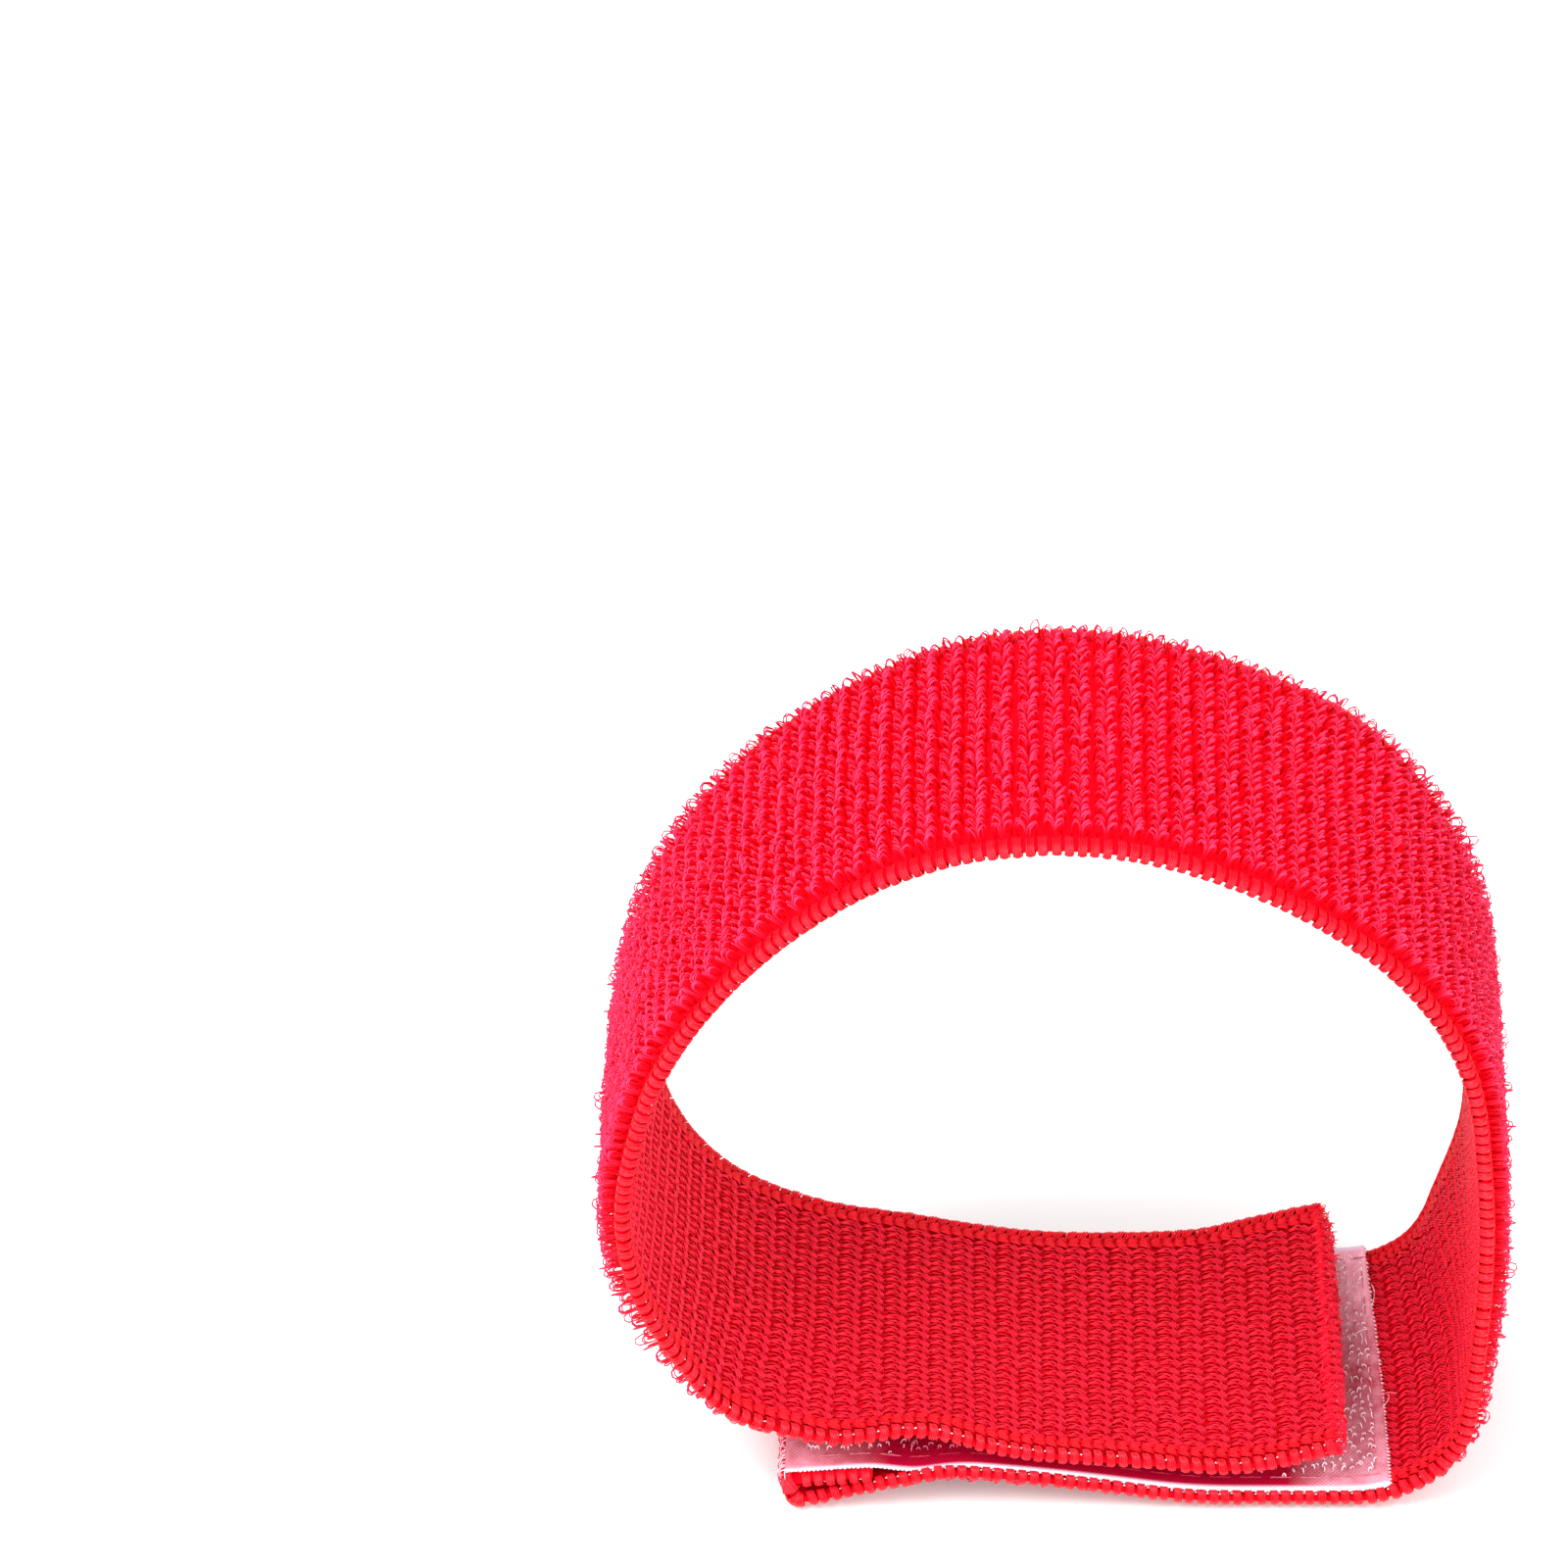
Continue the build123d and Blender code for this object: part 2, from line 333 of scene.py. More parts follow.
# ---- the elastic's inner face ----
def add_ribs(yarns, first, last):
    """The ribs: in each cell a plump float under a thin one, three legs down into the next row, and three
    fine strands that lean the other way in the trough. Their tints paint light: the thin float on top is
    lightest as a painted highlight, the plump float under it less so, and the yarn under both keeps the
    plain deep red."""
    s, y = cells_in(max(first, BARE_FROM), last, RIB_PITCH, rows_across(INNER_WALES, WALE_PITCH))
    n = len(s)
    s = s + jitter(n, 0.11)
    y = y + jitter(n, 0.07)
    rise = jitter(n, 0.09)
    plump = paths_from([
        (s - 1.04, y + 0.05, 0.3),
        (s - 0.84, y - 0.04, 0.0),
        (s - 0.46, y - 0.1 + rise, -0.14),
        (s - 0.02, y - 0.05 + rise, -0.06),
        (s + 0.34, y - 0.14, 0.16),
        (s + 0.62, y - 0.26, 0.45)])
    yarns.add_tubes(plump, [0.09, 0.16, 0.18, 0.14, 0.1, 0.06], 6, INWARD, 0.1 + 0.4 * rng.random((n, 1)))
    thin = paths_from([
        (s - 0.9, y + 0.08, 0.22),
        (s - 0.5, y + 0.17, -0.1),
        (s + 0.0, y + 0.22 + rise, -0.22),
        (s + 0.5, y + 0.17, -0.14),
        (s + 0.88, y + 0.0, 0.2)])
    # painted highlight: the thin float on top is tinted lightest
    yarns.add_tubes(thin, [0.07, 0.095, 0.1, 0.1, 0.07], 4, INWARD, 0.6 + 0.4 * rng.random((n, 1)))
    under = paths_from([
        (s - 1.2, y - 0.5, 0.36),
        (s - 0.5, y - 0.36, 0.16),
        (s + 0.2, y - 0.42, 0.2),
        (s + 0.8, y - 0.6, 0.36)])
    yarns.add_tubes(under, [0.08, 0.13, 0.13, 0.08], 4, INWARD, tint=0.0)
    for shift in (-0.2, 0.0, 0.2):
        leg = paths_from([
            (s + 0.34 + shift, y + 0.14 + shift * 0.9, 0.05),
            (s + 0.66 + shift, y - 0.02 + shift * 0.9, -0.18),
            (s + 1.04 + shift, y - 0.32 + shift * 0.9, -0.1),
            (s + 1.42 + shift, y - 0.7 + shift * 0.9, 0.3)])
        yarns.add_tubes(leg, [0.06, 0.1, 0.11, 0.06], 4, INWARD, 0.35 + 0.65 * rng.random((n, 1)))
    for shift in (-0.22, 0.0, 0.22):
        lean = jitter(n, 0.07)
        strand = paths_from([
            (s + 0.98 + shift, y - 0.6 + shift * 0.4, 0.3),
            (s + 1.3 + shift + lean, y - 0.2, -0.06),
            (s + 1.62 + shift + lean, y + 0.2 - shift * 0.4, 0.3)])
        yarns.add_tubes(strand, [0.05, 0.09, 0.05], 4, INWARD, 0.3 + 0.7 * rng.random((n, 1)))


# ---- the edges ----
# A chain row is how far in from the edge it lies, and the length, lean and radius of its strokes.
CHAIN_ROWS = [(2.0, 1.5, 0.2, 0.16), (2.65, 1.7, -0.26, 0.17)]
# Beads have a spread of their plies and a slant on the inner face: round knobs, or a rope.
NEAR_BEADS = (1.02, 0.36)
FAR_BEADS = (1.5, 0.7)


def add_edge_chains(yarns, first, last, side):
    """Two rope-like chain rows beside the inner face's edge: strokes of three plies that lean towards the
    edge in the outer row and away from it in the inner one."""
    for inset, length, lean, radius in CHAIN_ROWS:
        s, y = cells_in(max(first, BARE_FROM), last, BEAD_PITCH, [side * (HALF_WIDTH - inset)])
        s = s + jitter(s.shape, 0.05)
        for ply in (-0.2, 0.0, 0.2):
            stroke = paths_from([
                (s - length / 2, y + ply - side * lean, 0.3),
                (s - length / 5, y + ply * 1.3 - side * lean * 0.6, -0.08),
                (s + length / 5, y + ply * 1.3 + side * lean * 0.6, -0.08),
                (s + length / 2, y + ply + side * lean, 0.3)])
            yarns.add_tubes(stroke, radius * np.array([0.5, 0.9, 0.85, 0.5]), 6, INWARD)


def add_beads(yarns, first, last, side):
    """The overlocked edge: rungs that wrap round the edge as plump beads. Each bead is four plies round a
    filler. They start fanned out on the pile's side and end drawn together, aslant, on the inner face."""
    s = columns_in(first, last, BEAD_PITCH)
    n = len(s)
    s = s + jitter(n, 0.05)
    swell = 1 + jitter(n, 0.06)
    out = jitter(n, 0.05)
    spread, slant = NEAR_BEADS if side < 0 else FAR_BEADS
    filler = paths_from([
        (s, side * (HALF_WIDTH - 2.0), 1.2),
        (s, side * (HALF_WIDTH - 1.0), 1.18),
        (s, side * (HALF_WIDTH - 0.6 + out), 0.98),
        (s, side * (HALF_WIDTH - 0.6 + out), 0.44),
        (s - 0.15, side * (HALF_WIDTH - 1.1), 0.24),
        (s - 0.3, side * (HALF_WIDTH - 1.8), 0.4)])
    radius = np.array([0.2, 0.32, 0.38, 0.38, 0.26, 0.15]) * swell[:, None]
    yarns.add_tubes(filler, radius, 7, ALONG, tint=0.0)
    for ply in (-0.345, -0.115, 0.115, 0.345):
        edge = HALF_WIDTH + out - abs(ply) * 0.5
        wrap = paths_from([
            (s + ply * 1.5, side * (HALF_WIDTH - 2.5), 1.1),
            (s + ply * 1.05, side * (HALF_WIDTH - 1.9), 1.42),
            (s + ply * 0.95, side * (HALF_WIDTH - 1.1), 1.46),
            (s + ply * 0.95, side * (edge - 0.3), 1.28),
            (s + ply * 0.9 * spread, side * (edge - 0.12), 0.72),
            (s + ply * 0.95 * spread, side * (edge - 0.32), 0.12),
            (s + ply * 0.95 * spread - 0.3 * slant, side * (HALF_WIDTH - 0.85), -0.16),
            (s + ply * 0.75 * spread - 0.7 * slant, side * (HALF_WIDTH - 1.3), -0.04),
            (s + ply * 0.55 * spread - slant, side * (HALF_WIDTH - 1.62), 0.34)])
        radius = np.array([0.08, 0.13, 0.15, 0.16, 0.17, 0.16, 0.14, 0.13, 0.08]) * swell[:, None]
        yarns.add_tubes(wrap, radius, 5, ALONG)


def add_edges(yarns, first, last):
    """Both edges: the beads, and the chain rows beside them."""
    for side in (-1, 1):
        add_beads(yarns, first, last, side)
        add_edge_chains(yarns, first, last, side)


def add_core_dots(yarns, first, last):
    """Spots of the white rubber thread that show in half of the gaps between the beads."""
    for side in (-1, 1):
        s = columns_in(first, last, BEAD_PITCH)
        s = s[rng.random(len(s)) < 0.5] + BEAD_PITCH / 2
        n = len(s)
        y = side * (HALF_WIDTH - 0.85 + jitter(n, 0.08))
        dot = paths_from([(s - 0.12, y, 0.24), (s, y + jitter(n, 0.05), 0.13), (s + 0.12, y, 0.24)])
        yarns.add_tubes(dot, [0.06, 0.09, 0.06], 5, OUTWARD)


# ---- the pile ----
PILE_ROWS = rows_across(27, 1.28)
# How high the loops stand from the knit, by distance: pressed under the hem, the tail and the free end.
PILE_HEIGHTS = [(-10.9, 0.4), (-4.0, 0.5), (-2.6, 0.6), (0.6, 0.6), (4.0, 1.0), (14.0, 1.7), (24.0, 1.7),
                (40.0, 1.0), (60.0, 0.95), (72.0, 1.2), (84.0, 1.5), (100.0, 2.0), (260.0, 2.1),
                (276.0, 2.5), (286.0, 2.2), (296.0, 1.5), (306.0, 0.95), (316.0, 0.9), (340.0, 1.1),
                (363.0, 1.8)]
# A loop's line: its share of the way from root to tip, and its share of the height.
LOOP_SHAPE = [(0.02, 0.0), (-0.04, 0.55), (0.06, 0.88), (0.4, 1.0), (0.8, 0.97), (1.04, 0.7), (0.9, 0.0)]
LOOP_ROOT = KNIT - 0.35
FILAMENTS = 3
TALL_LOOPS = 0.02


def add_pile(yarns, first, last):
    """The loop pile: in each cell two strokes that spread apart, each of a few fine filament loops. The tint
    is 0 at a loop's root and full on its top, so each loop's top carries a painted pink highlight."""
    s, y = cells_in(first, last, RIB_PITCH, PILE_ROWS)
    n = len(s)
    usual_height = np.interp(s, *zip(*PILE_HEIGHTS))
    for way in (-1, 1):
        middle_s, middle_y = jitter(n, 0.09), jitter(n, 0.12)
        for _ in range(FILAMENTS):
            height = usual_height * (0.92 + jitter(n, 0.09))
            height = np.where(rng.random(n) < TALL_LOOPS, height * 1.35, height)
            root_s = s + way * 0.12 + middle_s + jitter(n, 0.06)
            root_y = y - 0.42 + middle_y + jitter(n, 0.08)
            tip_s = s + way * 0.86 + middle_s + jitter(n, 0.1)
            tip_y = y + 0.38 + middle_y + jitter(n, 0.1)
            lean_s, lean_y = jitter(n, 0.1), jitter(n, 0.1)
            # shine: how strong the painted highlight on each loop's top is
            shine = 0.55 + 0.45 * rng.random(n)
            loop, tint = [], []
            for along, up in LOOP_SHAPE:
                loop.append((root_s + (tip_s - root_s) * along + lean_s * up,
                             root_y + (tip_y - root_y) * along + lean_y * up,
                             LOOP_ROOT + (height + KNIT - LOOP_ROOT) * up))
                tint.append(shine * ramp(up, 0.78, 0.2))
            radius = 0.07 + 0.03 * rng.random((n, 1))
            yarns.add_tubes(paths_from(loop), radius, 4, np.array([0.3, 1.0, 0.2]), np.stack(tint, axis=1))


# ---- the cloth below the yarns, and the white rubber cores ----
CORE_STUB = 0.4     # how far the cores stand past the cut


def add_ground(yarns, first, last):
    """The solid cloth that closes the gaps between the yarns. Its inner face, seen in the gaps between the
    ribs, is painted darker as painted shade; its outer face under the pile is full bright red.
    """
    s_values = np.linspace(first, last, int((last - first) / 1.2))
    yarns.add_slab(s_values, np.linspace(-HALF_WIDTH + 0.7, HALF_WIDTH - 0.7, 19), 0.38, 1.2)


def add_cores(yarns, first, last):
    """The rubber threads in the knit: one along every row."""
    stub = CORE_STUB if last == CUT_END else 0.0
    s_values = np.linspace(first, last + stub, int((last - first) / 1.6))
    rows = rows_across(CORES, WALE_PITCH)
    yarns.add_tubes(paths_from([(s_value, rows, 0.72) for s_value in s_values]), 0.2, 6, ACROSS)


# ---- the hook tape ----
def tape_line():
    """Walk the tape's underside from the fold to its right end. Return evenly spaced distances with their
    X, Z and heading."""
    over_hem = profile(np.linspace(HEM_START, FLAP_END, 20), HEM_TOP)
    on_tail = profile(np.linspace(RAMP_FOOT, TAPE_END, 120), 0.0)
    x, z = np.concatenate([over_hem, on_tail], axis=1)
    run = np.concatenate([[0.0], np.cumsum(np.hypot(np.diff(x), np.diff(z)))])
    even = np.arange(0.0, run[-1], LINE_STEP)
    x, z = np.interp(even, run, x), np.interp(even, run, z)
    for _ in range(SMOOTHING_PASSES):
        x[1:-1] = (x[:-2] + 2 * x[1:-1] + x[2:]) / 4
        z[1:-1] = (z[:-2] + 2 * z[1:-1] + z[2:]) / 4
    heading = np.arctan2(np.gradient(z), np.gradient(x))
    return even, x, z, heading


TAPE_RUN, TAPE_X, TAPE_Z, TAPE_HEADING = tape_line()
TAPE_LENGTH = TAPE_RUN[-1]


def place_tape(points):
    """Lay points (distance along the tape, across, height over its underside) on the tape's line. It lifts
    with the cloth under it, except over the hem, and its far right corner stands 1 mm more off it."""
    t, y, height = points[..., 0], points[..., 1], points[..., 2]
    along_band = TAPE_END - TAPE_LENGTH + t
    corner = ramp(y, 6, 12) * ramp(t, 46, 12)
    height = height + lift(along_band, y) * ramp(t, 12, 8) + corner
    heading = np.interp(t, TAPE_RUN, TAPE_HEADING)
    beyond = t - np.clip(t, 0, TAPE_LENGTH)
    x = np.interp(t, TAPE_RUN, TAPE_X) - height * np.sin(heading) + beyond * np.cos(heading)
    z = np.interp(t, TAPE_RUN, TAPE_Z) + height * np.cos(heading) + beyond * np.sin(heading)
    return to_frame(x, y, z)


def ends_out_of_painted_shade(t):
    """Rise from 0 in the tape's middle, in painted shade under the free end, to 1 at its two ends."""
    return 1 - ramp(t, 6, 8) * (1 - ramp(t, 48, 8))


def tape_cut(y):
    """Where the tape's right end is cut: a little askew."""
    return TAPE_LENGTH - 0.8 - 0.45 * y / TAPE_HALF


def add_tape_base(yarns):
    """The woven ground of the hook tape."""
    yarns.add_slab(np.linspace(0.0, 1.0, 150), np.linspace(-TAPE_HALF, TAPE_HALF, 60), 0.0, TAPE_BASE)
    points = yarns.points[-1]
    points[:, 0] = TAPE_START + points[:, 0] * (tape_cut(points[:, 1]) - TAPE_START)
    yarns.yarn[-1][:, 0] = points[:, 0]


def add_tape_edges(yarns):
    """The woven margins: flat weft yarns side by side that wrap round each long edge. They are wider towards
    the tape's right end."""
    for side in (-1, 1):
        t = np.arange(TAPE_START + 0.2, float(tape_cut(side * TAPE_HALF)) - 0.1, WEFT_PITCH)
        rightness = ramp(t, 35, 25)
        reach = side * (TAPE_HALF + jitter(len(t), 0.04))
        wide = 0.3 + 0.6 * rightness
        weft = paths_from([
            (t + jitter(len(t), 0.04), side * (TAPE_HALF - wide - 0.2 * rng.random(len(t))), 0.16),
            (t, side * (TAPE_HALF - 0.6 * wide), 0.2),
            (t, side * (TAPE_HALF - 0.2), 0.18),
            (t, reach, 0.1),
            (t, side * (TAPE_HALF - 0.2), 0.0)])
        size = (0.95 + 0.1 * rightness)[:, None]
        yarns.add_tubes(weft, size * [0.16, 0.22, 0.23, 0.2, 0.14], 6, ALONG)


def add_tape_end(yarns):
    """The cut right end: stubs of the lengthwise yarns."""
    y = np.arange(-TAPE_HALF + 0.3, TAPE_HALF - 0.2, WARP_PITCH)
    cut = tape_cut(y)
    out = 0.1 + 0.25 * rng.random(len(y))
    stub = paths_from([
        (cut - 0.5, y, 0.24),
        (cut - 0.1, y, 0.26),
        (cut + out * 0.5, y + jitter(len(y), 0.04), 0.2),
        (cut + out, y + jitter(len(y), 0.06), 0.08)])
    yarns.add_tubes(stub, [0.12, 0.18, 0.15, 0.07], 6, ACROSS, tint=0.5)


HOOK_PITCH_ALONG = 1.12
HOOK_PITCH_ACROSS = 1.0
# A hook's line: how far out it reaches, and how high it stands, with its root at 0.3.
HOOK_SHAPE = [(0.0, 0.3), (0.03, 0.62), (0.12, 0.95), (0.3, 1.1), (0.5, 1.04), (0.58, 0.86), (0.5, 0.72)]


def add_hooks(yarns):
    """The hook field: staggered rows of small bent monofilaments, some leaning and some twisted."""
    rows = np.arange(1.0, TAPE_LENGTH - 1.6, HOOK_PITCH_ALONG)
    t, y = np.meshgrid(rows, np.arange(-15.4, 16.5, HOOK_PITCH_ACROSS), indexing="ij")
    y = y + np.where(np.arange(len(t)) % 2, HOOK_PITCH_ACROSS / 2, 0.0)[:, None]
    t = (t + jitter(t.shape, 0.2)).reshape(-1)
    y = (y + jitter(y.shape, 0.18)).reshape(-1)
    way = np.where(rng.random(len(t)) < 0.5, -1.0, 1.0)
    turn = jitter(len(t), 0.8)
    tall = 0.7 + jitter(len(t), 0.14)
    size = 0.8 + jitter(len(t), 0.15)
    out_t, out_y = size * way * np.cos(turn), size * way * np.sin(turn)
    root = HOOK_SHAPE[0][1]
    path = [(t + out_t * out, y + out_y * out, TAPE_BASE + (up - root) * tall) for out, up in HOOK_SHAPE]
    sideways = np.stack([-out_y, out_t, np.zeros_like(t)], axis=-1)
    # painted shade: hooks in the tape's middle are tinted to the deep colour, dim under the free end
    tint = ends_out_of_painted_shade(t) * (0.5 + 0.5 * rng.random(len(t)))
    yarns.add_tubes(paths_from(path), 0.085, 5, sideways, tint[:, None])


def add_curls(yarns):
    """Short curling filaments: many among the hooks and three over the right edge."""
    count = 60
    starts = np.stack([rng.uniform(-1.0, TAPE_LENGTH - 2, count), rng.uniform(-15.5, 17.0, count)], axis=-1)
    over_edge = [(TAPE_LENGTH - 0.9, -6.0), (TAPE_LENGTH - 0.9, -4.2), (TAPE_LENGTH - 1.2, 8.5)]
    part = np.linspace(0, 1, 9)
    for t, y in np.concatenate([starts, over_edge]):
        step = rng.uniform(1.2, 3.2) / (len(part) - 1)
        heading = rng.uniform(-0.8, 0.8) + rng.normal(0.0, 2.2) * part
        path = np.stack([t + np.cumsum(np.cos(heading)) * step, y + np.cumsum(np.sin(heading)) * step,
                         1.0 + 0.3 * np.sin(part * math.pi)], axis=-1)
        yarns.add_tubes(path[None], 0.05, 4, OUTWARD)


def add_fringe(yarns):
    """Loose ends that hang from the tape's left cut, closer together near its near corner."""
    y = np.concatenate([rng.uniform(-18.0, -8.0, 26), rng.uniform(-8.0, 18.0, 30)])
    lean = jitter(len(y), 0.8)
    drop = rng.uniform(0.2, 2.4, len(y))
    out = rng.uniform(0.1, 1.2, len(y))
    fringe = paths_from([
        (TAPE_START + 0.5, y, 0.3),
        (TAPE_START - 0.5 * out, y + lean * 0.3, 0.25),
        (TAPE_START - out, y + lean * 0.7, 0.2 - drop * 0.4),
        (TAPE_START - out, y + lean, 0.2 - drop)])
    yarns.add_tubes(fringe, 0.06, 4, ACROSS, 0.3 + 0.6 * rng.random((len(y), 1)))


def add_strays(yarns):
    """Every loose filament of the tape."""
    add_curls(yarns)
    add_fringe(yarns)


STITCH_PITCH = 3.4
STITCH_INSET = 1.9
STITCH_RADIUS = 0.11
# A stitch's line: how far along it is, and how high over the tape's underside, which leaves it sunk.
STITCH_SHAPE = [(0.0, 0.3), (0.4, 0.42), (2.2, 0.42), (2.6, 0.3)]


def add_stitches(yarns):
    """The sewing thread: sunk lockstitches along both long margins and across both ends."""
    for side in (-1, 1):
        t = np.arange(2.0, TAPE_LENGTH - 3.0, STITCH_PITCH)
        path = paths_from([(t + run, side * (TAPE_HALF - STITCH_INSET), up) for run, up in STITCH_SHAPE])
        # painted shade: stitches in the tape's middle take the thread's deep colour, as the tape does
        yarns.add_tubes(path, STITCH_RADIUS, 6, OUTWARD, 0.5 * ends_out_of_painted_shade(t)[:, None])
    y = np.arange(-15.5, 14.0, STITCH_PITCH)
    for t in (0.9, TAPE_LENGTH - STITCH_INSET):
        path = paths_from([(t, y + run, up) for run, up in STITCH_SHAPE])
        yarns.add_tubes(path, STITCH_RADIUS, 6, OUTWARD, tint=0.6)


# ---- the frayed cut of the free end ----
FRAY_FIBRES = 1500
FRAY_BUMP = (0.5, 4.0, 5.0)     # where across the cut the fibres are up to half as long again


def add_fray(yarns):
    """Short fibres that stand out of the cut edge, thick and soft at the root and thin at the tip, and three
    lumpy rolls of them that close the cut."""
    y = rng.uniform(-HALF_WIDTH + 0.4, HALF_WIDTH - 0.4, FRAY_FIBRES)
    root = CUT_END - rng.uniform(0.0, 1.7, FRAY_FIBRES)
    depth = rng.uniform(0.0, 1.7, FRAY_FIBRES)
    long = rng.uniform(0.4, 1.1, FRAY_FIBRES) * (1 + bumps(y, [FRAY_BUMP]))
    bend_y, bend_n = jitter(FRAY_FIBRES, 0.35), jitter(FRAY_FIBRES, 0.3)
    path = paths_from([
        (root, y, depth),
        (root + long * 0.4, y + bend_y * 0.2, depth + bend_n * 0.4),
        (root + long * 0.75, y + bend_y * 0.6, depth + bend_n),
        (root + long, y + bend_y * 1.2, depth + bend_n * 1.3)])
    tint = 0.3 * rng.random((FRAY_FIBRES, 1))
    yarns.add_tubes(path, [0.12, 0.1, 0.075, 0.035], 4, np.array([0.1, 0.3, 1.0]), tint)
    y = np.linspace(-HALF_WIDTH + 0.7, HALF_WIDTH - 0.7, 90)
    for depth in (0.3, 0.8, 1.3):
        roll = np.stack([CUT_END - 0.35 + jitter(len(y), 0.16), y, depth + jitter(len(y), 0.1)], axis=-1)
        radius = 0.3 + 0.12 * rng.random((1, len(y)))
        yarns.add_tubes(roll[None], radius, 7, OUTWARD, tint=0.0)


# ---- materials ----
RELIEF_DEPTH = 0.06 * MM
MARGIN_WIDTH = 0.75     # of the tape's white margins, in millimetres
MARGIN_EDGE = 1.6       # how steeply they begin


def new_material(name):
    """Return a new material, its node tree and its shader."""
    material = bpy.data.materials.new(name)
    material.use_nodes = True
    tree = material.node_tree
    return material, tree, tree.nodes["Principled BSDF"]


def feed(tree, socket, value):
    """Link another socket to this one, or set this one to a number or a colour."""
    if isinstance(value, bpy.types.NodeSocket):
        tree.links.new(value, socket)
    elif isinstance(value, tuple):
        socket.default_value = (*value, 1)
    else:
        socket.default_value = value


def math_node(tree, operation, *inputs):
    """Add a maths node whose inputs are sockets or numbers, and return its output."""
    node = tree.nodes.new("ShaderNodeMath")
    node.operation = operation
    for socket, value in zip(node.inputs, inputs):
        feed(tree, socket, value)
    return node.outputs[0]


def clamped(tree, value):
    """Keep a socket's value between 0 and 1."""
    return math_node(tree, "MINIMUM", math_node(tree, "MAXIMUM", value, 0.0), 1.0)


def colour_mix(tree, share, deep, light):
    """Mix two colours, each a socket or a tuple, by a socket and return the result."""
    mix = tree.nodes.new("ShaderNodeMix")
    mix.data_type = "RGBA"
    feed(tree, mix.inputs["A"], deep)
    feed(tree, mix.inputs["B"], light)
    feed(tree, mix.inputs["Factor"], share)
    return mix.outputs["Result"]


def yarn_values(tree):
    """Return the sockets of what Yarns stored at each point: the vector, and its three values."""
    attribute = tree.nodes.new("ShaderNodeAttribute")
    attribute.attribute_name = "yarn"
    parts = tree.nodes.new("ShaderNodeSeparateXYZ")
    tree.links.new(attribute.outputs["Vector"], parts.inputs[0])
    return attribute.outputs["Vector"], *parts.outputs


def add_relief(tree, shader, height, strength):
    """Bump the surface by a socket."""
    relief = tree.nodes.new("ShaderNodeBump")
    relief.inputs["Strength"].default_value = strength
    relief.inputs["Distance"].default_value = RELIEF_DEPTH
    tree.links.new(height, relief.inputs["Height"])
    tree.links.new(relief.outputs["Normal"], shader.inputs["Normal"])


def yarn_material(name, deep, light, filaments, twist, roughness, shine=0.2, strand=0.22, tinted=0.45):
    """A yarn of fine filaments, which wind round it as a wave. Its colour runs from deep to light by shares
    of that wave and of the tint stored on the yarn: a random tone on some yarns, painted highlight and shade
    on others."""
    material, tree, shader = new_material(name)
    _, along, around, tint = yarn_values(tree)
    turns = math_node(tree, "MULTIPLY", along, twist)
    turns = math_node(tree, "MULTIPLY_ADD", around, float(filaments), turns)
    wave = math_node(tree, "SINE", math_node(tree, "MULTIPLY", turns, 2 * math.pi))
    share = math_node(tree, "MULTIPLY_ADD", wave, strand, strand)
    share = math_node(tree, "MULTIPLY_ADD", tint, tinted, share)
    tree.links.new(colour_mix(tree, share, deep, light), shader.inputs["Base Color"])
    add_relief(tree, shader, wave, 0.6)
    shader.inputs["Roughness"].default_value = roughness
    shader.inputs["Specular IOR Level"].default_value = shine
    return material


def plain_weave(tree, along, across):
    """The tape's weave: a wave along it over its wefts, times a wave across it over its warps."""
    wefts = math_node(tree, "SINE", math_node(tree, "MULTIPLY", along, 2 * math.pi / WEFT_PITCH))
    warps = math_node(tree, "SINE", math_node(tree, "MULTIPLY", across, 2 * math.pi / WARP_PITCH))
    return math_node(tree, "MULTIPLY", wefts, warps)


def tape_paleness_and_painted_shade(tree, place_on_tape, along, across):
    """How pale the tape is painted: 0 in its middle, which is painted shade and red light from the band
    under the free end; cloudy near its two ends, with patches of painted hook glints; and palest at its
    edges.
    """
    edges = math_node(tree, "MULTIPLY_ADD", across, 0.12 / TAPE_HALF, 0.2)
    edges = math_node(tree, "MULTIPLY_ADD", math_node(tree, "ABSOLUTE", across), 0.42 / TAPE_HALF, edges)
    # painted glints: the cloudy pale patches stand for glinting hooks
    cloud = tree.nodes.new("ShaderNodeTexNoise")
    cloud.inputs["Scale"].default_value = 0.7
    tree.links.new(place_on_tape, cloud.inputs["Vector"])
    cloudy = math_node(tree, "MULTIPLY_ADD", cloud.outputs["Fac"], 0.7, -0.33)
    # painted shade: only the two ends turn pale; the middle, under the free end, stays deep
    left = math_node(tree, "MULTIPLY_ADD", along, -0.09, 0.9)
    right = math_node(tree, "MULTIPLY_ADD", along, 0.22, -0.22 * (TAPE_LENGTH - 12.0))
    ends = clamped(tree, math_node(tree, "MAXIMUM", left, right))
    return math_node(tree, "MULTIPLY", ends, math_node(tree, "ADD", edges, cloudy))


def tape_margin(tree, along, across):
    """Rise to 1 on the white woven margins of the tape, which are narrower towards its left end."""
    narrowing = math_node(tree, "MINIMUM", math_node(tree, "MULTIPLY_ADD", along, 0.015, -0.7), 0.0)
    start = math_node(tree, "ADD", narrowing, -MARGIN_EDGE * (TAPE_HALF - MARGIN_WIDTH))
    margin = math_node(tree, "MULTIPLY_ADD", math_node(tree, "ABSOLUTE", across), MARGIN_EDGE, start)
    return clamped(tree, margin)


